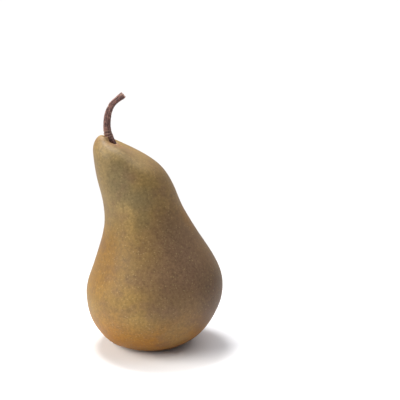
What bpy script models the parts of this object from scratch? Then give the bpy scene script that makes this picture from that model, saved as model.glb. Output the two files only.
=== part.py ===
"""A russet pear, as picked: the fruit, its woody stem and the dried calyx underneath.

Metres, +Z up. The pear stands upright on the flat ring round its calyx basin, at Z = 0, and
the origin is under the middle of its bounding box. Seen from the front, with -Y towards the
viewer, +X is to the right and the neck bends to the left.

The fruit and the calyx are lofts: a stack of closed rings, extruded from one ring to the
next and capped at both ends. The stem is a bevelled curve.
"""

import math
from typing import NamedTuple

import bmesh
import bpy
import numpy as np
from mathutils import Vector

MM = 0.001  # sizes are written in millimetres, and every point is scaled by this once


class Section(NamedTuple):
    """One cross-section of the fruit: an oval, in millimetres.

    height, right and back place its centre. half_width runs left to right, half_depth front
    to back. tilt, in degrees, leans its plane so that its right side is the lower one.
    """

    height: float
    right: float
    back: float
    half_width: float
    half_depth: float
    tilt: float


# The skin, from the ring that the pear stands on to the mouth of the stem's socket. It is 72
# wide at the belly, and the neck leans to the left and a little to the front.
SKIN = (
    Section(0.0, -2.2, 0.0, 12.5, 12.2, 0),
    Section(1.1, -2.2, 0.0, 17.5, 16.2, 0),
    Section(4.4, -2.1, 0.0, 23.5, 22.0, 0),
    Section(9.6, -1.9, 0.0, 28.5, 27.3, 0),
    Section(16.2, -1.6, 0.0, 32.5, 31.6, 0),
    Section(24.0, -0.6, 0.0, 35.2, 34.4, 0),
    Section(32.5, 0.1, 0.0, 35.7, 35.0, 0),
    Section(41.0, 0.6, -0.1, 33.5, 33.0, 0),
    Section(50.0, -0.1, -0.2, 29.7, 29.4, 0),
    Section(59.0, -1.3, -0.4, 25.5, 25.3, 1),
    Section(68.5, -3.3, -0.7, 22.1, 22.1, 2),
    Section(78.5, -6.1, -1.1, 20.4, 20.3, 5),
    Section(87.5, -8.8, -1.5, 20.1, 19.6, 8),
    Section(94.2, -10.6, -1.8, 19.9, 18.9, 13),
    Section(99.9, -12.3, -2.0, 19.1, 17.3, 17),
    Section(104.1, -14.1, -2.1, 16.6, 14.4, 20),
    Section(107.3, -16.8, -2.2, 12.3, 10.2, 23),
    Section(109.4, -19.3, -2.2, 7.9, 6.1, 27),
    Section(110.2, -21.0, -2.2, 4.6, 2.9, 30),
)
SKIN_STEPS = 3  # rings to each stretch between two sections
FRUIT_SIDES = 48

# The underside: the pear rests on a flat ring round a shallow basin.
REST_RING_INNER = 10.0
BASIN_DEPTH = 5.2
BASIN_STEPS = 6

# The soft unevenness of a grown skin: how many waves go round, how far they twist round per
# millimetre of height, how far they stand out as a share of the radius, where they start.
WAVES = (
    (2, 0.020, 0.006, 0.6),
    (3, -0.045, 0.006, 2.1),
    (5, 0.030, 0.003, 4.0),
)
# The five seed chambers show as faint ribs round the base, which fade out up the fruit.
RIBS = 5
RIB_SHARE = 0.012
RIB_FADE = 16.0

# The stem's centreline, as (right, back, height, radius), from its foot in the flesh to its
# cut end. It leaves the fruit leaning left, and curls over to the right.
STEM_LINE = (
    (-19.1, -2.2, 106.2, 1.40),
    (-20.5, -2.3, 109.0, 1.65),
    (-22.2, -2.4, 112.2, 1.95),
    (-23.1, -2.6, 116.0, 1.80),
    (-23.1, -2.7, 120.2, 1.72),
    (-22.5, -2.8, 124.2, 1.62),
    (-21.3, -2.9, 127.3, 1.50),
    (-19.8, -3.0, 129.6, 1.44),
    (-17.6, -3.0, 131.5, 1.50),
    (-14.6, -3.0, 133.9, 1.76),
)
STEM_STEPS = 3
STEM_ROUNDNESS = 5  # a curve's bevel has 4 sides and 2 more for each of these

# The calyx: a small dry cup sunk in the floor of the basin, whose rim is five sepals that
# curl out and down.
CUP_RADIUS = 2.65  # to the middle of its wall
CUP_DEPTH = 2.6
SEPALS = 5
SEPAL_LENGTH = 3.6
SEPAL_CURL = 2.6
SEPAL_THICKNESS = 0.7
NOTCH = 0.12  # how far the wall reaches between two sepals, as a share of their length
POINTS_A_SEPAL = 10
CALYX_SHARES = (0.0, 0.35, 0.55, 0.70, 0.85, 1.0)

GAP = 0.3  # left between two pieces that touch


def spline(rows, steps):
    """Rows of numbers read off one smooth curve through the given rows.

    It is a natural cubic spline, which passes through every row and bends as little as it
    can. Each stretch between two rows is cut into so many steps.
    """
    rows = np.array(rows, float)
    count = len(rows)
    system = np.eye(count)
    bends = np.zeros_like(rows)
    for i in range(1, count - 1):
        system[i, i - 1 : i + 2] = 1, 4, 1
        bends[i] = 6 * (rows[i - 1] - 2 * rows[i] + rows[i + 1])
    bends = np.linalg.solve(system, bends)
    read = []
    for i in range(count - 1):
        for t in np.arange(steps) / steps:
            s = 1 - t
            line = s * rows[i] + t * rows[i + 1]
            bend = (s**3 - s) * bends[i] + (t**3 - t) * bends[i + 1]
            read.append(line + bend / 6)
    read.append(rows[-1])
    return read


def angles(sides):
    """The directions of a ring's points, from +X towards +Y."""
    return [math.tau * i / sides for i in range(sides)]


def unevenness(angle, height):
    """The share by which the skin stands out from its oval section at this place."""
    swell = sum(
        share * math.sin(waves * angle + twist * height + start)
        for waves, twist, share, start in WAVES
    )
    fade = math.exp(-((height / RIB_FADE) ** 2))
    return swell + RIB_SHARE * fade * math.cos(RIBS * angle)


def skin_ring(section, even=False):
    """The ring of one section: a plain oval where it is even, as round the stem."""
    lean = math.radians(section.tilt)
    ring = []
    for angle in angles(FRUIT_SIDES):
        swell = 1 if even else 1 + unevenness(angle, section.height)
        across = section.half_width * swell * math.cos(angle)
        right = section.right + across * math.cos(lean)
        back = section.back + section.half_depth * swell * math.sin(angle)
        height = section.height - across * math.sin(lean)
        ring.append(Vector((right, back, height)))
    return ring


def basin_height(radius):
    """How high the wall of the basin is, this far from its middle."""
    return BASIN_DEPTH * (1 - (radius / REST_RING_INNER) ** 2) ** 2


def base_ring(radius, height):
    """A level ring of the fruit about the middle of its base."""
    foot = SKIN[0]
    return [
        Vector((foot.right + radius * math.cos(a), foot.back + radius * math.sin(a), height))
        for a in angles(FRUIT_SIDES)
    ]


def basin_rings():
    """The hole for the calyx, then the basin from the hole's mouth to the resting ring."""
    hole = CUP_RADIUS + SEPAL_THICKNESS / 2 + GAP
    mouth = basin_height(hole)
    rings = [base_ring(hole, mouth + CUP_DEPTH + GAP)]
    for radius in np.linspace(hole, REST_RING_INNER, BASIN_STEPS + 1):
        rings.append(base_ring(radius, basin_height(radius)))
    return rings


def socket_end():
    """The closed end of the socket that the stem stands in, square to the stem."""
    foot, above = (Vector(row[:3]) for row in STEM_LINE[:2])
    along = (above - foot).normalized()
    ahead = Vector((0, 1, 0))
    side = ahead.cross(along).normalized()
    ahead = along.cross(side)
    radius = STEM_LINE[0][3] + GAP
    return [
        foot - along * GAP + (side * math.cos(a) + ahead * math.sin(a)) * radius
        for a in angles(FRUIT_SIDES)
    ]


def fruit_rings():
    """All the fruit's rings: the basin, the resting ring, the skin and the stem's socket."""
    foot, mouth = SKIN[0], SKIN[-1]
    skin = [skin_ring(Section(*row)) for row in spline(SKIN, SKIN_STEPS)[1:-1]]
    resting = base_ring(foot.half_width, foot.height)
    return [*basin_rings(), resting, *skin, skin_ring(mouth, even=True), socket_end()]


def calyx_ring(reach, side):
    """A ring of the calyx, where its wall has run so far from the floor of the cup.

    reach gives that distance for each angle, and side is 1 on the outer face of the wall, -1
    on the inner one. The wall runs straight down, and past the cup it curls outwards.
    """
    foot = SKIN[0]
    hole = CUP_RADIUS + SEPAL_THICKNESS / 2 + GAP
    floor = basin_height(hole) + CUP_DEPTH
    ring = []
    for angle in angles(SEPALS * POINTS_A_SEPAL):
        run = reach(angle)
        turn = max(0.0, run - CUP_DEPTH) / SEPAL_CURL
        proud = side * SEPAL_THICKNESS / 2
        out = CUP_RADIUS + SEPAL_CURL * (1 - math.cos(turn)) + proud * math.cos(turn)
        drop = min(run, CUP_DEPTH) + SEPAL_CURL * math.sin(turn) - proud * math.sin(turn)
        right = foot.right + out * math.cos(angle)
        back = foot.back + out * math.sin(angle)
        ring.append(Vector((right, back, floor - drop)))
    return ring


def calyx_rings():
    """The calyx's rings: down its outside to the tips of the sepals, and back up inside."""

    def reach(share, start=0.0):
        def at(angle):
            pointed = 0.5 + 0.5 * math.cos(SEPALS * angle)
            tip = CUP_DEPTH + SEPAL_LENGTH * (NOTCH + (1 - NOTCH) * pointed)
            return start + share * (tip - start)

        return at

    outside = [calyx_ring(reach(share), 1) for share in CALYX_SHARES]
    inside = [calyx_ring(reach(share, SEPAL_THICKNESS), -1) for share in CALYX_SHARES]
    return outside + inside[::-1]


def material(name, colour, roughness):
    """A plain surface, with a linear colour."""
    made = bpy.data.materials.new(name)
    made.use_nodes = True
    surface = made.node_tree.nodes["Principled BSDF"]
    surface.inputs["Base Color"].default_value = (*colour, 1)
    surface.inputs["Roughness"].default_value = roughness
    surface.inputs["Metallic"].default_value = 0.0
    return made


def add(name, data, finish):
    """An object with this mesh or curve, in the scene."""
    data.materials.append(finish)
    made = bpy.data.objects.new(name, data)
    bpy.context.scene.collection.objects.link(made)
    return made


def extrude_ring(shape, ring, points):
    """Extrude a closed ring of corners, and move the new ring to these points."""
    edges = [shape.edges.get(pair) for pair in zip(ring, ring[1:] + ring[:1])]
    fresh = set(bmesh.ops.extrude_edge_only(shape, edges=edges)["geom"])
    new_ring = []
    for corner, point in zip(ring, points):
        new = next(e.other_vert(corner) for e in corner.link_edges if e.other_vert(corner) in fresh)
        new.co = point * MM
        new_ring.append(new)
    return new_ring


def loft(name, rings, finish):
    """A solid that starts as a capped circle and is extruded from each ring to the next."""
    shape = bmesh.new()
    ring = bmesh.ops.create_circle(shape, cap_ends=True, radius=1, segments=len(rings[0]))["verts"]
    for corner, point in zip(ring, rings[0]):
        corner.co = point * MM
    for points in rings[1:]:
        ring = extrude_ring(shape, ring, points)
    bmesh.ops.contextual_create(shape, geom=ring)
    bmesh.ops.recalc_face_normals(shape, faces=shape.faces)
    mesh = bpy.data.meshes.new(name)
    shape.to_mesh(mesh)
    shape.free()
    mesh.shade_smooth()
    mesh.set_sharp_from_angle(angle=math.radians(40))
    return add(name, mesh, finish)


def stalk(name, rows, finish):
    """A round stalk along a curve, with its own radius at each point and a flat end."""
    curve = bpy.data.curves.new(name, "CURVE")
    curve.dimensions = "3D"
    curve.bevel_depth = MM
    curve.bevel_resolution = STEM_ROUNDNESS
    curve.use_fill_caps = True
    line = curve.splines.new("POLY")
    line.points.add(len(rows) - 1)
    for point, row in zip(line.points, rows):
        point.co = (*(value * MM for value in row[:3]), 1)
        point.radius = row[3]
    return add(name, curve, finish)


def main():
    for old in list(bpy.data.objects):
        bpy.data.objects.remove(old, do_unlink=True)
    loft("fruit", fruit_rings(), material("russet_skin", (0.36, 0.25, 0.10), 0.5))
    stalk("stem", spline(STEM_LINE, STEM_STEPS), material("stem_wood", (0.10, 0.05, 0.045), 0.7))
    loft("calyx", calyx_rings(), material("dry_sepal", (0.12, 0.075, 0.05), 0.8))


main()
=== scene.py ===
# %% [markdown]
# # A russet pear
#
# One pear, as picked, on a pale table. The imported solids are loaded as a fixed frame, and
# finer pieces are modelled over them: the fruit's skin, the woody stem, and the dried calyx
# in the hollow underneath. Lengths are in metres, and MM turns millimetres into them.

import math
import random

import bmesh
import bpy
import numpy as np
from mathutils import Matrix, Vector, noise


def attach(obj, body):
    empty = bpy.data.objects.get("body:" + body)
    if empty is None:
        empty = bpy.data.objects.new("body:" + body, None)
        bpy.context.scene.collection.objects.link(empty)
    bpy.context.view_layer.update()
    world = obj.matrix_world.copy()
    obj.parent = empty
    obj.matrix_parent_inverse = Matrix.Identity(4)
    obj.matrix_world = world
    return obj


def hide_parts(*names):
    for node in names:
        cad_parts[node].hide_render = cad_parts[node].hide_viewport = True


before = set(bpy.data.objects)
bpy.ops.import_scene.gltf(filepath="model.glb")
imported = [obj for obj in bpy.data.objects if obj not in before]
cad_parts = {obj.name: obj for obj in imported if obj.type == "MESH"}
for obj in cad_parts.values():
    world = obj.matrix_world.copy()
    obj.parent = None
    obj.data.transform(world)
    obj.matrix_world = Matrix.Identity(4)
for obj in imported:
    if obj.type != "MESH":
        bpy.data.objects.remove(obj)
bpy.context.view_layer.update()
MM = 0.001
print("nodes:", sorted(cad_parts))

# %% [markdown]
# ## Picking a piece up and putting it down
#
# Everything below is modelled as by hand: a primitive is added, and edit mode's extrude,
# scale, rotate and move shape it. An operator acts on all that is selected, so each step
# first lets go of everything and then picks what it needs. A new piece is settled at once:
# its place goes into its mesh, and its object stays at the origin, so that patterns measured
# from the object stay where they are.


# %% Let go, pick and settle
def let_go():
    """Leave edit mode and deselect every object."""
    if bpy.context.object and bpy.context.object.mode != "OBJECT":
        bpy.ops.object.mode_set(mode="OBJECT")
    bpy.ops.object.select_all(action="DESELECT")


def pick(piece):
    """Make one piece the only selected and active object."""
    let_go()
    piece.select_set(True)
    bpy.context.view_layer.objects.active = piece


def settle(piece, name):
    """Name a piece and put its place into its mesh, so that its object sits at the origin."""
    pick(piece)
    piece.name = name
    piece.data.name = name
    bpy.ops.object.transform_apply(location=True, rotation=True, scale=True)
    bpy.ops.object.shade_smooth()
    return piece


let_go()
print("selected now:", len(bpy.context.selected_objects))

# %% [markdown]
# ## The fruit
#
# The skin of a pear is one closed, grown surface. It could be sculpted from a sphere, but
# then its size would be a matter of luck. Here it is drawn as a stack of oval sections that
# were judged from the front: each has a height, a place to the right and to the back, two
# half sizes and a tilt, because the neck of this one bends to the left and its top slopes.
# They are the sections that the solid was built from, so the finer skin stays where it is.

# %% The sections of the fruit, in millimetres and degrees
# height, right, back, half width, half depth, tilt
SECTIONS = (
    (0.0, -2.2, 0.0, 12.5, 12.2, 0),
    (1.1, -2.2, 0.0, 17.5, 16.2, 0),
    (4.4, -2.1, 0.0, 23.5, 22.0, 0),
    (9.6, -1.9, 0.0, 28.5, 27.3, 0),
    (16.2, -1.6, 0.0, 32.5, 31.6, 0),
    (24.0, -0.6, 0.0, 35.2, 34.4, 0),
    (32.5, 0.1, 0.0, 35.7, 35.0, 0),
    (41.0, 0.6, -0.1, 33.5, 33.0, 0),
    (50.0, -0.1, -0.2, 29.7, 29.4, 0),
    (59.0, -1.3, -0.4, 25.5, 25.3, 1),
    (68.5, -3.3, -0.7, 22.1, 22.1, 2),
    (78.5, -6.1, -1.1, 20.4, 20.3, 5),
    (87.5, -8.8, -1.5, 20.1, 19.6, 8),
    (94.2, -10.6, -1.8, 19.9, 18.9, 13),
    (99.9, -12.3, -2.0, 19.1, 17.3, 17),
    (104.1, -14.1, -2.1, 16.6, 14.4, 20),
    (107.3, -16.8, -2.2, 12.3, 10.2, 23),
    (109.4, -19.3, -2.2, 7.9, 6.1, 27),
    (110.2, -21.0, -2.2, 4.6, 2.9, 30),
)
BASE = Vector((-2.2, 0.0, 0.0)) * MM
print(len(SECTIONS), "sections, up to", SECTIONS[-1][0], "mm high")

# %% [markdown]
# Nineteen sections are too few for a smooth skin, and straight lines between them would show
# as flats. A natural cubic spline passes through every section and bends as little as it can
# between them, as a thin wooden batten does round pegs. The rings between are read off it.


# %% Rows between the rows
def spline(rows, steps):
    """Rows of numbers read off a natural cubic spline through the given rows."""
    rows = np.array(rows, float)
    count = len(rows)
    system = np.eye(count)
    bends = np.zeros_like(rows)
    for i in range(1, count - 1):
        system[i, i - 1 : i + 2] = 1, 4, 1
        bends[i] = 6 * (rows[i - 1] - 2 * rows[i] + rows[i + 1])
    bends = np.linalg.solve(system, bends)
    read = []
    for i in range(count - 1):
        for t in np.arange(steps) / steps:
            s = 1 - t
            line = s * rows[i] + t * rows[i + 1]
            bend = (s**3 - s) * bends[i] + (t**3 - t) * bends[i + 1]
            read.append(line + bend / 6)
    read.append(rows[-1])
    return read


print("between the first two sections:", [round(float(v), 2) for v in spline(SECTIONS, 2)[1]])

# %% [markdown]
# One ring of edges draws the whole skin. It is extruded on the spot, turned level, sized,
# tilted and moved to its new place. Turning it level first keeps the sizing along the ring's
# own two axes. With no window open, Blender's rotate goes the other way round and overlooks
# the pivot setting, so the angles are reversed and the centre is given.


# %% Extrude one ring to the next
def extrude_to(centre, half_width, half_depth, tilt, last):
    """Extrude the selected ring of edges, then size, tilt and move the new ring.

    last gives the same four values for the ring that it starts from.
    """
    was_centre, was_width, was_depth, was_tilt = last
    bpy.ops.mesh.extrude_region_move()
    bpy.ops.transform.rotate(value=was_tilt, orient_axis="Y", center_override=was_centre)
    bpy.ops.transform.resize(
        value=(half_width / was_width, half_depth / was_depth, 1), center_override=was_centre
    )
    bpy.ops.transform.rotate(value=-tilt, orient_axis="Y", center_override=was_centre)
    bpy.ops.transform.translate(value=Vector(centre) - Vector(was_centre))
    return centre, half_width, half_depth, tilt


print("a ring is its centre, half width, half depth and tilt")

# %% [markdown]
# A grown skin isn't a true oval either, so soft waves that twist slowly up the fruit push it
# in and out by less than one per cent, and the five seed chambers show as faint ribs round
# the base. Noise would do it too, but waves that run round the fruit can't leave a seam.

# %% The unevenness of a grown skin
# how many waves go round, their twist per millimetre of height, their share, their start
WAVES = (
    (2, 0.020, 0.006, 0.6),
    (3, -0.045, 0.006, 2.1),
    (5, 0.030, 0.003, 4.0),
)
RIBS, RIB_SHARE, RIB_FADE = 5, 0.012, 16.0


def swell(angle, height):
    """How far the skin stands out of its oval here, as a factor. height is in millimetres."""
    share = sum(s * math.sin(n * angle + twist * height + start) for n, twist, s, start in WAVES)
    ribs = RIB_SHARE * math.exp(-((height / RIB_FADE) ** 2)) * math.cos(RIBS * angle)
    return 1 + share + ribs


print("swell at the belly, left and right:", round(swell(math.pi, 30), 4), round(swell(0, 30), 4))

# %% [markdown]
# Each new ring is a copy of the one below, with that one's swell still in it. So every corner
# is moved by its own swell over the one that it already has.


# %% Swell a ring
def nudge_ring(piece, ring, height, was_height):
    """Push the selected ring in and out by the swell at its height."""
    centre, half_width, half_depth, tilt = ring
    shape = bmesh.from_edit_mesh(piece.data)
    for corner in shape.verts:
        if corner.select:
            away = Matrix.Rotation(-tilt, 3, "Y") @ (corner.co - Vector(centre))
            angle = math.atan2(away.y / half_depth, away.x / half_width)
            factor = swell(angle, height)
            if was_height is not None:
                factor /= swell(angle, was_height)
            corner.co = Vector(centre) + (corner.co - Vector(centre)) * factor
    bmesh.update_edit_mesh(piece.data)


print("waves:", len(WAVES), "and ribs:", RIBS)

# %% [markdown]
# Underneath, a pear stands on a ring round a shallow basin, with the dried flower in it. The
# modelling starts there: a filled circle is the bottom of the hole that holds the calyx, and
# it is extruded down to the mouth of the hole and out over the basin to the resting ring.

# %% Start the fruit in its basin
SIDES = 96
BASIN_RADIUS, BASIN_DEPTH, BASIN_STEPS = 10.0, 5.2, 8  # millimetres, and rings
HOLE_RADIUS, HOLE_DEPTH = 3.3, 2.9  # millimetres


def basin_height(radius):
    """The height of the basin's wall this far from its middle, in millimetres."""
    return BASIN_DEPTH * (1 - (radius / BASIN_RADIUS) ** 2) ** 2


def flat_ring(radius, height):
    """A level, round ring about the middle of the base."""
    return BASE + Vector((0, 0, height * MM)), radius * MM, radius * MM, 0.0


let_go()
ring = flat_ring(HOLE_RADIUS, basin_height(HOLE_RADIUS) + HOLE_DEPTH)
bpy.ops.mesh.primitive_circle_add(
    vertices=SIDES, radius=ring[1], location=ring[0], fill_type="NGON"
)
fruit = settle(bpy.context.object, "pear_skin")
bpy.ops.object.mode_set(mode="EDIT")
bpy.ops.mesh.select_mode(type="EDGE")
bpy.ops.mesh.select_all(action="SELECT")
for radius in np.linspace(HOLE_RADIUS, BASIN_RADIUS, BASIN_STEPS + 1):
    ring = extrude_to(*flat_ring(radius, basin_height(radius)), ring)
ring = extrude_to(*flat_ring(SECTIONS[0][3], 0.0), ring)
print("basin:", BASIN_STEPS, "rings, the highest at", round(basin_height(HOLE_RADIUS), 2), "mm")

# %% [markdown]
# An extruded piece still has an open end ring, and its faces may point inwards. Both are put
# right at the end of each piece. Subdivision then rounds it, and is applied, because the
# relief that follows needs its corners.


# %% Close a piece and round it
def close_and_round(piece):
    """Close the selected end ring, turn the faces outwards and subdivide the piece once."""
    bpy.ops.mesh.edge_face_add()
    bpy.ops.mesh.select_all(action="SELECT")
    bpy.ops.mesh.normals_make_consistent(inside=False)
    pick(piece)
    rounding = piece.modifiers.new("round", "SUBSURF")
    rounding.levels = rounding.render_levels = 1
    bpy.ops.object.modifier_apply(modifier=rounding.name)
    bpy.ops.object.shade_smooth()


print("in edit mode:", fruit.mode == "EDIT")

# %% [markdown]
# From the resting ring the same ring of edges is extruded up through all the sections. The
# last ones roll over the lip of the stem's seat, follow the stem down into the flesh, and
# close the flesh round it.

# %% Draw the skin up to the stem
RINGS_A_STRETCH = 3
INTO_SEAT = Vector((0.46, 0.0, -0.89))  # the way down into the flesh, along the stem
LIP = (  # how far down in millimetres, and the size as a share of the mouth's
    (0.5, 0.84),
    (1.2, 0.66),
    (2.3, 0.50),
    (4.0, 0.36),
)

was = None
for height, right, back, half_width, half_depth, tilt in spline(SECTIONS, RINGS_A_STRETCH)[1:]:
    centre = Vector((right, back, height)) * MM
    ring = extrude_to(centre, half_width * MM, half_depth * MM, math.radians(tilt), ring)
    nudge_ring(fruit, ring, height, was)
    was = height
mouth, mouth_width, mouth_depth, mouth_tilt = ring
for sink, share in LIP:
    down = INTO_SEAT * sink * MM
    ring = extrude_to(mouth + down, mouth_width * share, mouth_depth * share, mouth_tilt, ring)
close_and_round(fruit)
print("fruit:", len(fruit.data.vertices), "corners,", len(fruit.data.polygons), "faces")

# %% [markdown]
# ## Relief
#
# A real skin isn't a smooth shell, and neither is bark or a dry leaf. Their relief is made of
# small moves along the surface's own normals. Sculpt mode's brushes do this by hand, and a
# formula does it the same way each time.


# %% Move a surface along its normals
def sculpt(piece, depth):
    """Move every corner along its normal, by depth(place) in millimetres."""
    mesh = piece.data
    places = [corner.co.copy() for corner in mesh.vertices]
    normals = [corner.normal.copy() for corner in mesh.vertices]
    depths = [depth(place / MM) for place in places]
    for corner, place, normal, move in zip(mesh.vertices, places, normals, depths):
        corner.co = place + normal * move * MM
    mesh.update()
    print(piece.name, "was sculpted by", round(min(depths), 3), "to", round(max(depths), 3), "mm")


def fade(distance, reach):
    """1 at no distance, falling smoothly to 0 a few reaches away."""
    return math.exp(-((distance / reach) ** 2))


def crumple(place, layers):
    """Soft hills and hollows. Each layer has a width and a height, in millimetres."""
    return sum(height * noise.noise(place / width) for width, height in layers)


print("half a reach away, fade gives", round(fade(0.5, 1.0), 2))

# %% [markdown]
# Round the stem's seat and in the basin a pear's skin puckers, because it grew out of both.
# Each set of creases is a wave that runs round its middle and fades out away from it.

# %% The puckers at both ends of the fruit
SEAT = Vector((-21.6, -2.3, 110.8))
SEAT_SLOPE = 0.5  # how much the seat's rim rises to one side
SEAT_CREASES, SEAT_CREASE_HEIGHT, SEAT_TURN = 9, 0.14, 1.0
SEAT_CREASES_AT, SEAT_CREASES_REACH = 3.5, 2.2
BASIN_CREASES, BASIN_CREASE_HEIGHT = 10, 0.16
BASIN_CREASES_AT, BASIN_CREASES_REACH, BASIN_CREASES_UP = 6.5, 3.0, 7.0
UNEVEN_TURNS, UNEVEN_BY = 3, 0.4  # the basin's creases aren't evenly spaced


def seat_crease(place):
    """The height of the creases that run into the stem's seat, in millimetres."""
    away = place - SEAT
    angle = math.atan2(away.y, away.x + SEAT_SLOPE * away.z)
    strength = SEAT_CREASE_HEIGHT * fade(away.length - SEAT_CREASES_AT, SEAT_CREASES_REACH)
    return strength * math.sin(SEAT_CREASES * angle + SEAT_TURN)


def basin_crease(place):
    """The height of the creases in the basin, in millimetres."""
    away = place - BASE / MM
    angle = math.atan2(away.y, away.x)
    out = math.hypot(away.x, away.y) - BASIN_CREASES_AT
    inside = fade(place.z, BASIN_CREASES_UP) * fade(out, BASIN_CREASES_REACH)
    uneven = UNEVEN_BY * math.sin(UNEVEN_TURNS * angle)
    return BASIN_CREASE_HEIGHT * inside * math.sin(BASIN_CREASES * angle + uneven)


print("creases:", SEAT_CREASES, "at the seat,", BASIN_CREASES, "in the basin")

# %% [markdown]
# The rest is what this one pear has: shallow dents all over, and a few forms that show from
# the front. A fleshy lip folds round the stem's foot, and the neck has a shoulder with a
# hollow below it. The resting ring stays flat, so that the pear stands.

# %% Give the fruit its dents, folds and puckers
DENTS = ((14.0, 0.16), (6.0, 0.05))  # width and height, in millimetres
FLAT_BELOW = 0.8  # millimetres over which the relief starts above the table
# place, reach and height of each form, in millimetres
FORMS = (
    ((-25.4, -5.6, 111.0), 2.3, 0.85),  # the fleshy lip to the left of the stem
    ((-23.3, -5.3, 110.8), 1.6, 0.9),  # its end, in front of the stem's foot
    ((-20.6, -4.9, 110.4), 1.7, -1.0),  # the notch that shows the stem's foot
    ((-17.6, -3.8, 108.8), 1.9, 0.8),  # the fold to the right of the stem
    ((-16.0, -12.3, 106.2), 5.6, 0.65),  # the shoulder that catches the light
    ((-15.8, -19.3, 97.5), 7.5, -1.1),  # the hollow below it
)


def skin_depth(place):
    """The skin's whole relief here, in millimetres."""
    forms = sum(
        height * fade((place - Vector(spot)).length, reach) for spot, reach, height in FORMS
    )
    standing = 1 - fade(place.z, FLAT_BELOW)
    return (crumple(place, DENTS) + seat_crease(place) + forms + basin_crease(place)) * standing


sculpt(fruit, skin_depth)

# %% [markdown]
# ## The stem
#
# A pear's stem is a woody stalk. It leaves the flesh at a slant, curls over, and ends where it
# was cut from the tree, a little thicker there. A bevelled curve would give a plain pipe.
# Extruding a ring along its path leaves a mesh that can be shaped further, with ridges along
# the wood, scars across its foot, and the raised pores that show as pale dots.

# %% The stem's path, in millimetres
# right, back, height, radius
STEM_LINE = (
    (-19.1, -2.2, 106.2, 1.40),
    (-20.5, -2.3, 109.0, 1.65),
    (-22.2, -2.4, 112.2, 1.95),
    (-23.1, -2.6, 116.0, 1.80),
    (-23.1, -2.7, 120.2, 1.72),
    (-22.5, -2.8, 124.2, 1.62),
    (-21.3, -2.9, 127.3, 1.50),
    (-19.8, -3.0, 129.6, 1.44),
    (-17.6, -3.0, 131.5, 1.50),
    (-14.6, -3.0, 133.9, 1.76),
)
STEM_RINGS = 7

path = spline(STEM_LINE, STEM_RINGS)
middles = [Vector(row[:3]) for row in path]
ways = [
    (middles[min(i + 1, len(path) - 1)] - middles[max(i - 1, 0)]).normalized()
    for i in range(len(path))
]
runs = np.concatenate([[0], np.cumsum([(b - a).length for a, b in zip(middles, middles[1:])])])
print("stem:", round(float(runs[-1]), 1), "mm along its curve")

# %% [markdown]
# The stem is extruded along its path as the fruit was, each ring square to the way that the
# path runs there. Three smaller rings on the spot make the flat of its cut end.

# %% Draw the stem
STEM_SIDES = 36
STEM_PROUD = 0.05  # a share more at mid length, which the relief takes off again
END_SHARES = (0.93, 0.6, 0.25)  # the rings of the cut end, as shares of its radius


def stem_ring(i):
    """The place, size and tilt of the stem's ring at one point of its path."""
    radius = path[i][3] * (1 + STEM_PROUD * math.sin(math.pi * i / (len(path) - 1))) * MM
    return middles[i] * MM, radius, radius, math.atan2(ways[i].x, ways[i].z)


let_go()
ring = stem_ring(0)
bpy.ops.mesh.primitive_circle_add(vertices=STEM_SIDES, radius=ring[1], location=ring[0])
stem = settle(bpy.context.object, "pear_stem")
bpy.ops.object.mode_set(mode="EDIT")
bpy.ops.mesh.select_mode(type="EDGE")
bpy.ops.mesh.select_all(action="SELECT")
bpy.ops.transform.rotate(value=-ring[3], orient_axis="Y", center_override=ring[0])
bpy.ops.mesh.edge_face_add()
bpy.ops.mesh.select_all(action="SELECT")
for i in range(1, len(path)):
    ring = extrude_to(*stem_ring(i), ring)
end, end_radius, _, end_tilt = ring
for share in END_SHARES:
    ring = extrude_to(end, end_radius * share, end_radius * share, end_tilt, ring)
close_and_round(stem)
print("stem:", len(stem.data.polygons), "faces")

# %% [markdown]
# The relief of the bark follows the path, so each corner is first given its place on it: how
# far along, which way round, and how far out.


# %% Find a place on the stem
def on_stem(place):
    """How far along the stem a place is, which way round, and how far out of its middle."""
    nearest = min(range(len(middles)), key=lambda i: (middles[i] - place).length_squared)
    away = place - middles[nearest]
    along = away.dot(ways[nearest])
    away -= ways[nearest] * along
    side = Vector((0, 1, 0)).cross(ways[nearest])
    return runs[nearest] + along, math.atan2(away.y, away.dot(side)), away.length


first_along = on_stem(stem.data.vertices[0].co / MM)[0]
print("the first corner is", round(float(first_along), 2), "mm along")

# %% [markdown]
# Young bark breathes through pores, which stand out as small pale warts. They are scattered
# with a fixed seed, so each run gives the same stem. Three sizes are enough for the eye.

# %% Scatter the pores
PORES, PORES_FROM = 75, 6.0  # how many, and how many millimetres up the stem they start
PORE_SIZES = (0.2, 0.26, 0.38)  # millimetres
PORE_STRETCH = 1.5  # pores are this much longer than wide
PORE_EDGE = 0.6  # how soon a pore's height falls off, as a share of its size
BARK_OUT = 1.0  # millimetres from the stem's middle: nearer in is the cut wood

draw = random.Random(11)
pores = [
    (draw.uniform(PORES_FROM, float(runs[-1])), draw.uniform(0, math.tau), draw.choice(PORE_SIZES))
    for _ in range(PORES)
]


def pore_height(along, angle, radius):
    """How much of a pore stands here, from 0 to 1."""
    best = 0.0
    for where, turned, size in pores:
        if radius > BARK_OUT and abs(where - along) < 3 * size:
            across = math.remainder(angle - turned, math.tau) * radius
            reach = math.hypot((where - along) / PORE_STRETCH, across)
            best = max(best, fade(reach, size * PORE_EDGE))
    return best


print("pores:", PORES, "the first", round(pores[0][0], 1), "mm along")

# %% [markdown]
# The bark is paler where it stands out: on a pore, and on the rings that bud scars leave
# across the foot. The cut end shows paler wood. How pale each corner is goes into an
# attribute, which the bark's material reads later, so that the colour and the relief agree.

# %% Where the stem is pale
SCAR_SPACING = 1.5  # millimetres
RINGS_PALE, RINGS_AT, RINGS_REACH = 0.6, 8.5, 3.0  # a share, and millimetres along
CUT_PALE, CUT_SLICE = 0.4, 0.05  # a share, and millimetres from the end


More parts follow.
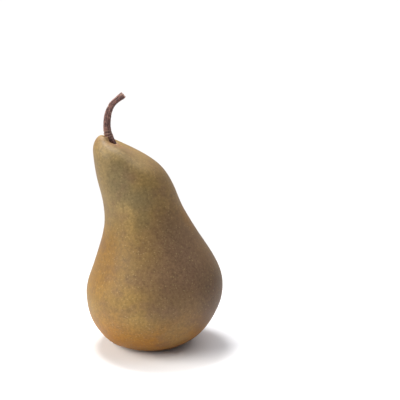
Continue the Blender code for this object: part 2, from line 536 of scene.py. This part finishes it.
def scar_wave(along):
    """1 on a scar across the stem's foot, -1 halfway to the next one."""
    return math.cos(math.tau * along / SCAR_SPACING)


def paleness(along, angle, radius):
    """How pale the stem is here, from 0 to 1."""
    ring_mark = RINGS_PALE * fade(along - RINGS_AT, RINGS_REACH) * max(0.0, scar_wave(along))
    cut_wood = CUT_PALE * (along > runs[-1] - CUT_SLICE)
    return max(pore_height(along, angle, radius), ring_mark, cut_wood)


pale = stem.data.attributes.new("pore", "FLOAT", "POINT")
shares = [paleness(*on_stem(corner.co / MM)) for corner in stem.data.vertices]
pale.data.foreach_set("value", shares)
print("paler than half:", sum(share > 0.5 for share in shares), "of", len(shares), "corners")

# %% [markdown]
# What stands out of the bark is the sum of long ridges, the scars, roughness and the pores.
# The cut end is only rough, with a small pit where the pith has dried.

# %% Ridges, scars and pores on the bark
# how many ridges go round, their twist per millimetre, their height in millimetres
RIDGES = ((6, 0.09, 0.09), (11, -0.2, 0.04))
SCAR_HEIGHT, SCARS_AT, SCARS_REACH = 0.07, 9.0, 3.5  # millimetres
BARK_LAYERS = ((1.3, 0.10), (0.5, 0.05))  # width and height, in millimetres
CUT_LAYERS = ((0.35, 0.12),)
PALE_HEIGHT = 0.13  # millimetres that the palest bark stands out
PITH_DEPTH, PITH_REACH = 0.15, 0.45  # millimetres
CUT_OUT, CUT_FROM = 1.15, 20.0  # millimetres from the middle, and along


def bark_depth(place):
    """The stem's whole relief here, in millimetres."""
    along, angle, radius = on_stem(place)
    if radius <= CUT_OUT and along > CUT_FROM:
        return crumple(place, CUT_LAYERS) - PITH_DEPTH * fade(radius, PITH_REACH)
    ridge = sum(h * math.cos(count * angle + twist * along) for count, twist, h in RIDGES)
    scar = SCAR_HEIGHT * fade(along - SCARS_AT, SCARS_REACH) * scar_wave(along)
    raised = PALE_HEIGHT * paleness(along, angle, radius)
    return ridge + scar + crumple(place, BARK_LAYERS) + raised


sculpt(stem, bark_depth)

# %% [markdown]
# ## The calyx
#
# The dried flower sits in the basin. What is left of it is a small cup, five sepals that curl
# out of its rim, and a tuft of dry stamens inside. The cup is extruded ring by ring, from its
# floor down the outside, round the rim and back up the inside.

# %% The cup
# radius and height of the cup's rings, in millimetres
CUP_RINGS = (
    (2.6, 6.7),
    (2.85, 6.0),
    (2.95, 4.6),
    (3.15, 3.7),
    (3.35, 3.35),
    (3.05, 3.2),
    (2.5, 3.9),
    (2.2, 5.2),
    (1.6, 5.9),
    (0.5, 6.1),
)
CUP_SIDES = 40
CUP_WRINKLES = ((0.9, 0.22), (0.3, 0.06))  # width and height, in millimetres

let_go()
ring = flat_ring(*CUP_RINGS[0])
bpy.ops.mesh.primitive_circle_add(
    vertices=CUP_SIDES, radius=ring[1], location=ring[0], fill_type="NGON"
)
cup = settle(bpy.context.object, "calyx_cup")
bpy.ops.object.mode_set(mode="EDIT")
bpy.ops.mesh.select_mode(type="EDGE")
bpy.ops.mesh.select_all(action="SELECT")
for radius, height in CUP_RINGS[1:]:
    ring = extrude_to(*flat_ring(radius, height), ring)
close_and_round(cup)
sculpt(cup, lambda place: crumple(place, CUP_WRINKLES))
print("cup:", len(cup.data.polygons), "faces")

# %% [markdown]
# A sepal is a thin leaf that narrows to a point. It starts as a flat oval in the cup's rim and
# is extruded along a curl, out and down over the basin. A solidified sheet would have edges of
# one thickness, and this one thins out to its tip.

# %% One sepal
# out from the middle, height, half thickness, half width, in millimetres
SEPAL_LINE = (
    (2.7, 4.7, 0.20, 1.30),
    (3.0, 3.8, 0.19, 1.62),
    (3.5, 3.1, 0.17, 1.55),
    (4.1, 2.6, 0.15, 1.15),
    (4.7, 2.3, 0.12, 0.62),
    (5.2, 2.25, 0.07, 0.14),
)
SEPAL_RINGS, SEPAL_SIDES = 3, 16


def leaf_ring(rows, i):
    """The place, size and tilt of a ring of a curled leaf or thread that points to the right."""
    out, height, thickness, width = rows[i]
    before, after = rows[max(i - 1, 0)], rows[min(i + 1, len(rows) - 1)]
    tilt = math.atan2(after[0] - before[0], after[1] - before[1])
    return BASE + Vector((out, 0, height)) * MM, thickness * MM, width * MM, tilt


def draw_leaf(rows, sides, name):
    """Extrude an oval along the rows, close both ends and round it."""
    let_go()
    ring = leaf_ring(rows, 0)
    centre, thickness, width, tilt = ring
    bpy.ops.mesh.primitive_circle_add(vertices=sides, radius=1.0, location=centre)
    piece = settle(bpy.context.object, name)
    bpy.ops.object.mode_set(mode="EDIT")
    bpy.ops.mesh.select_mode(type="EDGE")
    bpy.ops.mesh.select_all(action="SELECT")
    bpy.ops.transform.resize(value=(thickness, width, 1), center_override=centre)
    bpy.ops.transform.rotate(value=-tilt, orient_axis="Y", center_override=centre)
    bpy.ops.mesh.edge_face_add()
    bpy.ops.mesh.select_all(action="SELECT")
    for i in range(1, len(rows)):
        ring = extrude_to(*leaf_ring(rows, i), ring)
    close_and_round(piece)
    return piece


sepals = [draw_leaf(spline(SEPAL_LINE, SEPAL_RINGS), SEPAL_SIDES, "sepal_1")]
print("sepal:", len(sepals[0].data.polygons), "faces")

# %% [markdown]
# A pear's flower has five sepals. Four copies of the first are turned round the middle, each
# with its own mesh, so each gets its own wrinkles: the noise is read further up for each one.


# %% Five sepals
def copy_round(piece, name, turn, grow):
    """A copy with its own mesh, turned round the middle of the base and grown from there."""
    pick(piece)
    bpy.ops.object.duplicate()
    made = bpy.context.object
    bpy.ops.transform.rotate(value=turn, orient_axis="Z", center_override=BASE)
    bpy.ops.transform.resize(value=(grow, grow, 1), center_override=BASE)
    return settle(made, name)


SEPALS, UNEVEN_TURN = 5, 0.12  # how many, and how far one may be turned aside, in radians
SEPAL_GROWTH = (0.9, 1.02)
SEPAL_WRINKLES = ((1.5, 0.34), (0.5, 0.10))  # width and height, in millimetres
WRINKLE_STEP = 7.0  # millimetres of noise from one sepal to the next

draw = random.Random(40)
for number in range(1, SEPALS):
    turn = math.tau * number / SEPALS + draw.uniform(-UNEVEN_TURN, UNEVEN_TURN)
    sepals.append(
        copy_round(sepals[0], f"sepal_{number + 1}", turn, draw.uniform(*SEPAL_GROWTH))
    )
for number, sepal in enumerate(sepals):
    shift = Vector((0, 0, WRINKLE_STEP * number))
    sculpt(sepal, lambda place: crumple(place + shift, SEPAL_WRINKLES))
print("sepals:", len(sepals))

# %% [markdown]
# A stamen is a thin thread with a thicker tip. It is drawn like a sepal, only round and fine.
# The copies are turned and drawn in or out at random, with a fixed seed, and then joined.

# %% The dry stamens
# out from the middle, height, half thickness, half width, in millimetres
STAMEN_LINE = (
    (1.3, 6.1, 0.10, 0.10),
    (1.2, 5.0, 0.09, 0.09),
    (1.5, 4.1, 0.08, 0.08),
    (2.0, 3.5, 0.14, 0.14),
    (2.2, 3.2, 0.06, 0.06),
)
STAMENS, STAMEN_SIDES = 22, 6
STAMEN_GROWTH = (0.3, 1.05)

draw = random.Random(7)
threads = [draw_leaf(spline(STAMEN_LINE, 1), STAMEN_SIDES, "calyx_stamens")]
for number in range(1, STAMENS):
    turn = math.tau * number / STAMENS + draw.uniform(-UNEVEN_TURN, UNEVEN_TURN)
    threads.append(
        copy_round(threads[0], f"stamen_{number}", turn, draw.uniform(*STAMEN_GROWTH))
    )
let_go()
for thread in threads:
    thread.select_set(True)
bpy.context.view_layer.objects.active = threads[0]
bpy.ops.object.join()
stamens = settle(bpy.context.object, "calyx_stamens")
print("stamens:", STAMENS, "with", len(stamens.data.polygons), "faces in all")

# %% [markdown]
# ## Colours, widths and nodes
#
# Colours are written as sRGB hex values, as a colour picker gives them, and turned to linear
# light once. Every pattern reads Object coordinates, which are metres on the piece itself, so
# it stays where it is from every side. A noise or a cell pattern repeats once in each unit, so
# a feature that is so many millimetres wide takes a scale of 1000 over that number.


# %% Colours and pattern widths
def linear(code):
    """A hex colour as linear light."""
    channels = [int(code[i : i + 2], 16) / 255 for i in (1, 3, 5)]
    return (*(c / 12.92 if c <= 0.04045 else ((c + 0.055) / 1.055) ** 2.4 for c in channels), 1)


def every(width):
    """The scale of a pattern whose features are this many millimetres wide."""
    return 1 / (width * MM)


print("linear mid grey:", [round(v, 3) for v in linear("#808080")[:3]])
print("scale of a pattern 2 mm wide:", every(2))

# %% [markdown]
# A material is a small tree of nodes. One function adds a node of any kind, with its settings
# and what feeds it, so that the lines below read like a recipe.


# %% Add a node, begin a material
def node(tree, kind, settings=None, links=None):
    """Add a node, with its own settings or socket values, and what feeds its sockets."""
    made = tree.nodes.new(kind)
    for key, value in (settings or {}).items():
        if isinstance(key, str) and hasattr(made, key):
            setattr(made, key, value)
        else:
            made.inputs[key].default_value = value
    for key, source in (links or {}).items():
        tree.links.new(source, made.inputs[key])
    return made


def begin(name):
    """A new material: its tree, its shader and its Object coordinates."""
    made = bpy.data.materials.new(name)
    made.use_nodes = True
    tree = made.node_tree
    place = node(tree, "ShaderNodeTexCoord").outputs["Object"]
    return made, tree, tree.nodes["Principled BSDF"], place


print("materials so far:", len(bpy.data.materials))

# %% [markdown]
# ## Russet skin
#
# Russet is cork: the skin of these pears cracks while it grows and heals with a thin brown,
# slightly rough layer. It isn't one colour. It is golden where it is thin, olive where the
# green skin shows through, browner on the right and rusty near the base. Some tones are
# painted light and shade: the darker right side is partly painted shade, and painted shade,
# painted light and a painted highlight lie on the neck, the right flank and round the calyx.
# The tones are given as places on the pear, bands along an axis first and then round patches.

# %% The skin's tones
GOLDEN, OLIVE, BROWN, RUST = "#856a39", "#776644", "#684d39", "#8e5f19"
ORANGE, MAUVE, UMBER_AND_SHADE, MOSS_SHADE = "#825b24", "#735a49", "#54402f", "#5f5539"
BLUSH, PLUM_SHADE, STRAW_HIGHLIGHT = "#8c6649", "#4a362f", "#a88c52"
# axis, where the tone starts, where it is full, in millimetres, its most, and the tone
BANDS = (
    ("Z", 60, 95, 0.35, OLIVE),
    # partly the skin's own browner tone, partly painted shade on the side away from the window
    ("X", -8, 20, 0.60, BROWN),
    ("Z", 30, 6, 1.0, RUST),
)
# middle, where the tone starts, where it is full, in millimetres, its most, and the tone
PATCHES = (
    ((-28.0, -14.0, 49.0), 27, 8, 0.55, ORANGE),  # the left of the waist
    ((-22.0, -15.0, 90.0), 30, 12, 0.75, OLIVE),  # the left of the neck
    ((17.7, -2.6, 69.4), 12, 3, 0.50, ORANGE),  # high on the right
    ((14.0, -24.0, 52.0), 30, 8, 0.55, MAUVE),  # the right of the belly's front
    ((8.0, -33.0, 34.0), 15, 4, 0.30, UMBER_AND_SHADE),  # a browner spot below it
    # painted shade: the right flank is darkened
    ((34.0, -16.0, 30.0), 24, 6, 0.75, UMBER_AND_SHADE),  # the right flank
    ((14.0, -27.0, 14.0), 15, 5, 0.40, OLIVE),  # low on the right, where no rust runs
    # painted shade: the neck's right shoulder is darkened
    ((3.0, -6.0, 96.0), 16, 5, 0.35, UMBER_AND_SHADE),  # the neck's right shoulder
    # painted shade: these two darken the hollow in the neck and the skin below it, in a greenish
    # tone
    ((-17.0, -18.7, 94.0), 12, 3, 0.50, MOSS_SHADE),  # the hollow in the neck
    ((-14.0, -19.5, 85.0), 12, 4, 0.38, MOSS_SHADE),  # below the hollow
    # painted light: lifts the shade to the right of the hollow
    ((-2.0, -19.5, 91.0), 12, 4, 0.45, GOLDEN),  # to its right
    # painted highlight: a pale streak of sheen down the neck's left, in two patches
    ((-13.5, -19.5, 76.0), 8, 2, 0.26, STRAW_HIGHLIGHT),  # a pale streak down the neck's left
    ((-12.5, -20.5, 67.0), 8, 2, 0.22, STRAW_HIGHLIGHT),  # its lower end
    # painted shade: a darker streak down the neck, in two patches
    ((-4.5, -21.5, 82.0), 9, 2, 0.50, MOSS_SHADE),  # the darker streak to its right
    ((-4.0, -22.5, 71.0), 8, 2, 0.40, MOSS_SHADE),  # its lower end
    ((-21.0, -5.0, 109.5), 10, 3, 0.70, BLUSH),  # round the stem's foot
    # painted shade: a dark ring in the basin round the calyx
    ((-2.2, 0.0, 4.5), 8.5, 3.5, 0.80, PLUM_SHADE),  # round the calyx
)
print("tones:", len(BANDS), "bands and", len(PATCHES), "patches")

# %% [markdown]
# No edge between two tones is straight on a real skin. So the tones aren't read at the place
# itself: a wide, soft noise first shifts the place, by a few millimetres each way.

# %% Let the tones wander
# millimetres: the noise's features, and the shift from one end of its range to the other
WANDER_WIDTH, WANDER = 22.0, 18.0

# Russet pear skin: a thin cork that grew over fine cracks. It is porous and finely rough, so
# its sheen is broad and dull, and it mirrors less than a smooth, waxy skin does.
skin, tree, shader, place = begin("russet_pear_skin")
drift = node(
    tree, "ShaderNodeTexNoise",
    {"Scale": every(WANDER_WIDTH), "Detail": 2.0}, {"Vector": place},
).outputs["Color"]
drift = node(
    tree, "ShaderNodeVectorMath", {"operation": "SUBTRACT", 1: (0.5, 0.5, 0.5)}, {0: drift}
).outputs[0]
drift = node(
    tree, "ShaderNodeVectorMath", {"operation": "SCALE", "Scale": WANDER * MM}, {0: drift}
).outputs[0]
where = node(tree, "ShaderNodeVectorMath", {"operation": "ADD"}, {0: place, 1: drift}).outputs[0]
axes = node(tree, "ShaderNodeSeparateXYZ", {}, {"Vector": where}).outputs
print("nodes in the skin:", len(tree.nodes))

# %% [markdown]
# A painter would lay these tones over each other as thin glazes. The function does the same:
# it covers the tint with a tone, from nothing where a measure is at its start to the most
# where it is full. The measure is a height for a band and a distance for a patch.


# %% Lay the tones over each other
def glaze(tree, tint, measure, start, full, most, code):
    """Lay a tone over a tint, rising smoothly from start to full of the measure."""
    cover = node(
        tree, "ShaderNodeMapRange",
        {"interpolation_type": "SMOOTHSTEP", "From Min": start, "From Max": full, "To Max": most},
        {"Value": measure},
    ).outputs["Result"]
    return node(
        tree, "ShaderNodeMix", {"data_type": "RGBA", 7: linear(code)}, {0: cover, 6: tint}
    ).outputs[2]


tint = node(tree, "ShaderNodeRGB").outputs[0]
tint.default_value = linear(GOLDEN)
for axis, start, full, most, code in BANDS:
    tint = glaze(tree, tint, axes[axis], start * MM, full * MM, most, code)
for middle, start, full, most, code in PATCHES:
    away = node(
        tree, "ShaderNodeVectorMath",
        {"operation": "DISTANCE", 1: Vector(middle) * MM}, {0: where},
    ).outputs["Value"]
    tint = glaze(tree, tint, away, start * MM, full * MM, most, code)
print("nodes in the skin:", len(tree.nodes))

# %% [markdown]
# Over the tones lie brown clouds, where the cork is thicker, and a fine grain. Real cork cells
# are far too small to see. The grain is drawn 1.4 mm wide, about as fine as the picture shows.
# It darkens and lightens the tint. So does the height, as painted shade and light: the tint is
# darkened from the belly to the waist as painted shade, and lightened up the neck as painted
# light.

# %% Clouds and grain
CLOUD_WIDTH, CLOUD_START, CLOUD_FULL, CLOUD_MOST = 9.0, 0.42, 0.70, 0.42  # width in millimetres
GRAIN_WIDTH = 1.4  # millimetres
GRAIN_LOW, GRAIN_HIGH = 0.3, 0.7  # the noise's usual range
GRAIN_DARK, GRAIN_LIGHT = 0.68, 1.29  # what the grain makes of the tint there
# painted shade and light: from and to these heights, in millimetres, the tint goes to this share
PAINTED_SHADE_AND_LIGHT_BY_HEIGHT = ((28, 50, 0.84), (62, 85, 1.25))

cloud = node(
    tree, "ShaderNodeTexNoise",
    {"Scale": every(CLOUD_WIDTH), "Detail": 4.0, "Roughness": 0.6}, {"Vector": place},
).outputs["Fac"]
tint = glaze(tree, tint, cloud, CLOUD_START, CLOUD_FULL, CLOUD_MOST, BROWN)
fleck = node(
    tree, "ShaderNodeTexNoise",
    {"Scale": every(GRAIN_WIDTH), "Detail": 4.0, "Roughness": 0.7}, {"Vector": place},
).outputs["Fac"]
light = node(
    tree, "ShaderNodeMapRange",
    {"From Min": GRAIN_LOW, "From Max": GRAIN_HIGH, "To Min": GRAIN_DARK, "To Max": GRAIN_LIGHT},
    {"Value": fleck},
).outputs["Result"]
for start, full, share in PAINTED_SHADE_AND_LIGHT_BY_HEIGHT:
    step = node(
        tree, "ShaderNodeMapRange",
        {"interpolation_type": "SMOOTHSTEP", "From Min": start * MM, "From Max": full * MM,
         "To Min": 1.0, "To Max": share},
        {"Value": axes["Z"]},
    ).outputs["Result"]
    light = node(tree, "ShaderNodeMath", {"operation": "MULTIPLY"}, {0: light, 1: step}).outputs[0]
tint = node(
    tree, "ShaderNodeVectorMath", {"operation": "SCALE"}, {0: tint, "Scale": light}
).outputs[0]
print("clouds every", CLOUD_WIDTH, "mm, grain every", GRAIN_WIDTH, "mm")

# %% [markdown]
# The skin's pores are pale dots, a third of a millimetre wide. They are drawn about twice as
# wide, or the picture wouldn't show them. Each is the middle of a Voronoi cell, as strong as
# its cell's own random colour says, so that many stay faint.

# %% Pores
PORE_SPACING, PORE_WIDTH = 1.35, 0.7  # millimetres between the cells' middles, and across
PORE_OUTER, PORE_INNER = 1.3, 0.5  # a pore fades over these shares of its radius
PORE_MOST = 0.5
PALE_PORE = "#a08a5c"

cells = node(tree, "ShaderNodeTexVoronoi", {"Scale": every(PORE_SPACING)}, {"Vector": place})
rim = PORE_WIDTH / 2 / PORE_SPACING
pore = node(
    tree, "ShaderNodeMapRange",
    {"interpolation_type": "SMOOTHSTEP", "From Min": rim * PORE_OUTER,
     "From Max": rim * PORE_INNER, "To Max": PORE_MOST},
    {"Value": cells.outputs["Distance"]},
).outputs["Result"]
strength = node(tree, "ShaderNodeSeparateColor", {}, {"Color": cells.outputs["Color"]}).outputs[0]
pore = node(tree, "ShaderNodeMath", {"operation": "MULTIPLY"}, {0: pore, 1: strength}).outputs[0]
tint = node(
    tree, "ShaderNodeMix", {"data_type": "RGBA", 7: linear(PALE_PORE)}, {0: pore, 6: tint}
).outputs[2]
tree.links.new(tint, shader.inputs["Base Color"])
print("pores every", PORE_SPACING, "mm")

# %% [markdown]
# The grain also breaks up the skin's soft sheen, and with the pores it drives a shallow bump,
# a tenth of a millimetre deep. Relief this fine isn't worth corners of its own.

# %% Sheen and bump of the skin
SKIN_SMOOTH, SKIN_ROUGH = 0.46, 0.60  # the roughness, from one end of the grain to the other
SKIN_MIRROR = 0.25  # half of what smooth plastic has
GRAIN_DEPTH, GRAIN_STRENGTH = 0.12, 0.35  # millimetres, and a share

sheen = node(
    tree, "ShaderNodeMapRange",
    {"From Min": GRAIN_LOW, "From Max": GRAIN_HIGH, "To Min": SKIN_SMOOTH, "To Max": SKIN_ROUGH},
    {"Value": fleck},
).outputs["Result"]
tree.links.new(sheen, shader.inputs["Roughness"])
height = node(
    tree, "ShaderNodeMath", {"operation": "MULTIPLY_ADD", 1: 0.5}, {0: pore, 2: fleck}
).outputs[0]
bump = node(
    tree, "ShaderNodeBump",
    {"Strength": GRAIN_STRENGTH, "Distance": GRAIN_DEPTH * MM}, {"Height": height},
).outputs["Normal"]
tree.links.new(bump, shader.inputs["Normal"])
shader.inputs["Specular IOR Level"].default_value = SKIN_MIRROR
fruit.data.materials.append(skin)
print("nodes in the skin:", len(tree.nodes))

# %% [markdown]
# ## Bark
#
# The stem is young wood with its bark on, purple-brown and matt. Where the outer layer has
# worn, it is lighter. The pores, the rings at the foot and the cut end are paler still: the
# material reads them from the attribute that the relief was made with.

# %% The stem's bark
BARK, BARK_LIGHT, PORE_TAN = "#392120", "#7a5147", "#b2927f"
BARK_PATCH = 1.3  # millimetres from one worn patch to the next
WORN_START, WORN_FULL = 0.35, 0.65
BARK_DEPTH, BARK_STRENGTH, BARK_ROUGHNESS = 0.15, 0.5, 0.62  # the depth in millimetres

# Young pear bark: a dry, ridged outer layer. It scatters light, so it has no clear highlight.
bark, tree, shader, place = begin("pear_wood_bark")
grain = node(
    tree, "ShaderNodeTexNoise",
    {"Scale": every(BARK_PATCH), "Detail": 4.0, "Roughness": 0.7}, {"Vector": place},
).outputs["Fac"]
worn = node(
    tree, "ShaderNodeMapRange",
    {"interpolation_type": "SMOOTHSTEP", "From Min": WORN_START, "From Max": WORN_FULL},
    {"Value": grain},
).outputs["Result"]
tint = node(
    tree, "ShaderNodeMix",
    {"data_type": "RGBA", 6: linear(BARK), 7: linear(BARK_LIGHT)}, {0: worn},
).outputs[2]
dots = node(tree, "ShaderNodeAttribute", {"attribute_name": "pore"}).outputs["Fac"]
tint = node(
    tree, "ShaderNodeMix", {"data_type": "RGBA", 7: linear(PORE_TAN)}, {0: dots, 6: tint}
).outputs[2]
tree.links.new(tint, shader.inputs["Base Color"])
shader.inputs["Roughness"].default_value = BARK_ROUGHNESS
bump = node(
    tree, "ShaderNodeBump",
    {"Strength": BARK_STRENGTH, "Distance": BARK_DEPTH * MM}, {"Height": grain},
).outputs["Normal"]
tree.links.new(bump, shader.inputs["Normal"])
stem.data.materials.append(bark)
print("bark patches every", BARK_PATCH, "mm")

# %% [markdown]
# ## Dry sepals and stamens
#
# The sepals died when the fruit set, and dried for months. They are dark brown at the cup and
# worn to a greyish beige towards their tips, so the tint follows the distance from the middle
# of the base, broken up by a fine noise.

# %% Dry sepals
SEPAL_BROWN, SEPAL_BEIGE = "#3f2b2b", "#a38d78"
TIPS_START, TIPS_FULL = 2.9, 4.6  # millimetres out from the middle
TORN_START, TORN_FULL = 0.35, 0.6
DRY_GRAIN = 1.0  # millimetres
DRY_DEPTH, DRY_STRENGTH, DRY_ROUGHNESS = 0.1, 0.6, 0.8  # the depth in millimetres

# Dried leaf: papery and crumpled. It is fully matt, and its worn parts look dusty.
dry, tree, shader, place = begin("dry_sepal_tissue")
grain = node(
    tree, "ShaderNodeTexNoise",
    {"Scale": every(DRY_GRAIN), "Detail": 4.0, "Roughness": 0.6}, {"Vector": place},
).outputs["Fac"]
level = node(
    tree, "ShaderNodeVectorMath", {"operation": "MULTIPLY", 1: (1, 1, 0)}, {0: place}
).outputs[0]
out = node(
    tree, "ShaderNodeVectorMath", {"operation": "DISTANCE", 1: BASE}, {0: level}
).outputs["Value"]
tip = node(
    tree, "ShaderNodeMapRange",
    {"interpolation_type": "SMOOTHSTEP", "From Min": TIPS_START * MM, "From Max": TIPS_FULL * MM},
    {"Value": out},
).outputs["Result"]
worn = node(
    tree, "ShaderNodeMapRange", {"From Min": TORN_START, "From Max": TORN_FULL}, {"Value": grain}
).outputs["Result"]
tip = node(tree, "ShaderNodeMath", {"operation": "MULTIPLY"}, {0: tip, 1: worn}).outputs[0]
tint = node(
    tree, "ShaderNodeMix",
    {"data_type": "RGBA", 6: linear(SEPAL_BROWN), 7: linear(SEPAL_BEIGE)}, {0: tip},
).outputs[2]
tree.links.new(tint, shader.inputs["Base Color"])
shader.inputs["Roughness"].default_value = DRY_ROUGHNESS
bump = node(
    tree, "ShaderNodeBump",
    {"Strength": DRY_STRENGTH, "Distance": DRY_DEPTH * MM}, {"Height": grain},
).outputs["Normal"]
tree.links.new(bump, shader.inputs["Normal"])
for piece in (cup, *sepals):
    piece.data.materials.append(dry)
print("pieces of dry leaf:", 1 + len(sepals))

# %% [markdown]
# The stamens are threads a fifth of a millimetre thick, paler than the sepals. They are too
# thin to show a bump, so a mottled tint is all that they get.

# %% Dry stamens
STAMEN_BEIGE = "#9a826c"

# Dried plant thread: brittle and matt, brown where it was bruised.
thread, tree, shader, place = begin("dry_stamen_thread")
grain = node(
    tree, "ShaderNodeTexNoise", {"Scale": every(DRY_GRAIN), "Detail": 2.0}, {"Vector": place}
).outputs["Fac"]
tint = node(
    tree, "ShaderNodeMix",
    {"data_type": "RGBA", 6: linear(SEPAL_BROWN), 7: linear(STAMEN_BEIGE)}, {0: grain},
).outputs[2]
tree.links.new(tint, shader.inputs["Base Color"])
shader.inputs["Roughness"].default_value = DRY_ROUGHNESS
stamens.data.materials.append(thread)
print("materials:", sorted(material.name for material in bpy.data.materials))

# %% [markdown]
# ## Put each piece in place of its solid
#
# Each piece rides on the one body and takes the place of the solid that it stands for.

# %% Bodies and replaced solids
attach(fruit, "root")
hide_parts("fruit")
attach(stem, "root")
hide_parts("stem")
for piece in (cup, stamens, *sepals):
    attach(piece, "root")
    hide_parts("calyx")
print("pieces:", len((fruit, stem, cup, stamens, *sepals)))

# %% [markdown]
# ## Table
#
# The pear stands on a plain pale table, so large that its edges stay out of the picture. It
# is a little less than white, and the lights bring it up to white.

# %% The table
TABLE_SIZE, TABLE_WHITE, TABLE_ROUGHNESS = 12.0, "#ebebed", 0.9  # the size in metres

let_go()
bpy.ops.mesh.primitive_plane_add(size=TABLE_SIZE, location=(0, 0, 0))
table = bpy.context.object
table.name = "table"
# Matt white paper: even and rough, so it shows nothing but the pear's shadow.
paper, tree, shader, place = begin("pale_table")
shader.inputs["Base Color"].default_value = linear(TABLE_WHITE)
shader.inputs["Roughness"].default_value = TABLE_ROUGHNESS
table.data.materials.append(paper)
print("table:", TABLE_SIZE, "m wide")

# %% [markdown]
# ## Light
#
# One large soft light above and to the left gives the broad sheen on the pear's left side. A
# weak one overhead softens the shade. Both are suns with a wide angle: unlike an area lamp, a
# sun lights the whole table evenly, so that the ground stays white to its edges.


# %% The two large soft lights
def soft_sun(name, toward, power, spread, colour):
    """A sun that shines from a direction, with the spread, in degrees, of a large window."""
    let_go()
    bpy.ops.object.light_add(type="SUN", location=Vector(toward))
    lamp = bpy.context.object
    lamp.name = name
    lamp.rotation_euler = Vector(toward).to_track_quat("Z", "Y").to_euler()
    lamp.data.energy = power
    lamp.data.angle = math.radians(spread)
    lamp.data.color = linear(colour)[:3]
    return lamp


window = soft_sun("window", (-0.81, -0.27, 0.52), 3.9, 42, "#fffaf2")
ceiling = soft_sun("ceiling", (0.36, 0.10, 0.93), 1.3, 60, "#ffffff")
print("suns:", window.name, window.data.energy, "and", ceiling.name, ceiling.data.energy)

# %% [markdown]
# A small lamp behind and above grazes the shoulder of the neck and brings out the hollow
# below it. Its cone is wide and fully blended, so no circle of light shows on the table.

# %% The light on the neck
TOP_LIGHT_AT = Vector((-60, 110, 385)) * MM
TOP_LIGHT_ON = Vector((-15, -8, 107)) * MM  # the shoulder of the neck
TOP_LIGHT_POWER, TOP_LIGHT_CONE, TOP_LIGHT_RADIUS = 10.0, 50, 0.10  # watts, degrees, metres

let_go()
bpy.ops.object.light_add(type="SPOT", location=TOP_LIGHT_AT)
top_light = bpy.context.object
top_light.name = "top_light"
top_light.rotation_euler = (TOP_LIGHT_ON - TOP_LIGHT_AT).to_track_quat("-Z", "Y").to_euler()
top_light.data.energy = TOP_LIGHT_POWER
top_light.data.spot_size = math.radians(TOP_LIGHT_CONE)
top_light.data.spot_blend = 1.0
top_light.data.shadow_soft_size = TOP_LIGHT_RADIUS
print("top light:", round((TOP_LIGHT_ON - TOP_LIGHT_AT).length, 2), "m from the neck")

# %% [markdown]
# The pale room fills the shade from all round. The Standard view keeps the tones as they were
# chosen, and lets the table go to white.

# %% The room and the view
ROOM_WHITE, ROOM_STRENGTH = "#f4f6ff", 0.27

world = bpy.data.worlds.new("pale_room")
world.use_nodes = True
background = world.node_tree.nodes["Background"]
background.inputs["Color"].default_value = linear(ROOM_WHITE)
background.inputs["Strength"].default_value = ROOM_STRENGTH
bpy.context.scene.world = world
bpy.context.scene.view_settings.view_transform = "Standard"
print("view:", bpy.context.scene.view_settings.view_transform)

# %% [markdown]
# ## Camera
#
# The camera looks down by 15 degrees through a long lens, as in the photo. Its distance and
# its aim come from two things that can be read there: how many pixels the belly is wide, and
# which column the pear's middle stands in. The pear then has the photo's place and size.

# %% The camera
PIXELS = 400  # the photo is this wide and high
# a pixel's width where the camera aims; the belly is lower and so a little further off, and
# its 72 mm are 136 pixels wide
MM_A_PIXEL = 0.518
PEAR_X = 155  # the photo's column that the pear's middle stands in
AIM_RIGHT, AIM_HEIGHT = 0.6, 78.4  # millimetres: the bent pear's own place, and the height
LENS, SENSOR = 100.0, 36.0  # millimetres
LOOK_DOWN = math.radians(15)
SEE_AS_FAR_AS = 100  # metres, past the table's edge

aim = Vector(((PIXELS / 2 - PEAR_X) * MM_A_PIXEL + AIM_RIGHT, 0, AIM_HEIGHT)) * MM
distance = MM_A_PIXEL * MM * PIXELS / 2 / (SENSOR / 2 / LENS)
let_go()
bpy.ops.object.camera_add(
    location=aim + distance * Vector((0, -math.cos(LOOK_DOWN), math.sin(LOOK_DOWN))),
    rotation=(math.pi / 2 - LOOK_DOWN, 0, 0),
)
camera = bpy.context.object
camera.data.lens = LENS
camera.data.sensor_width = SENSOR
camera.data.clip_end = SEE_AS_FAR_AS
bpy.context.scene.camera = camera
print("camera:", round(distance, 3), "m away")
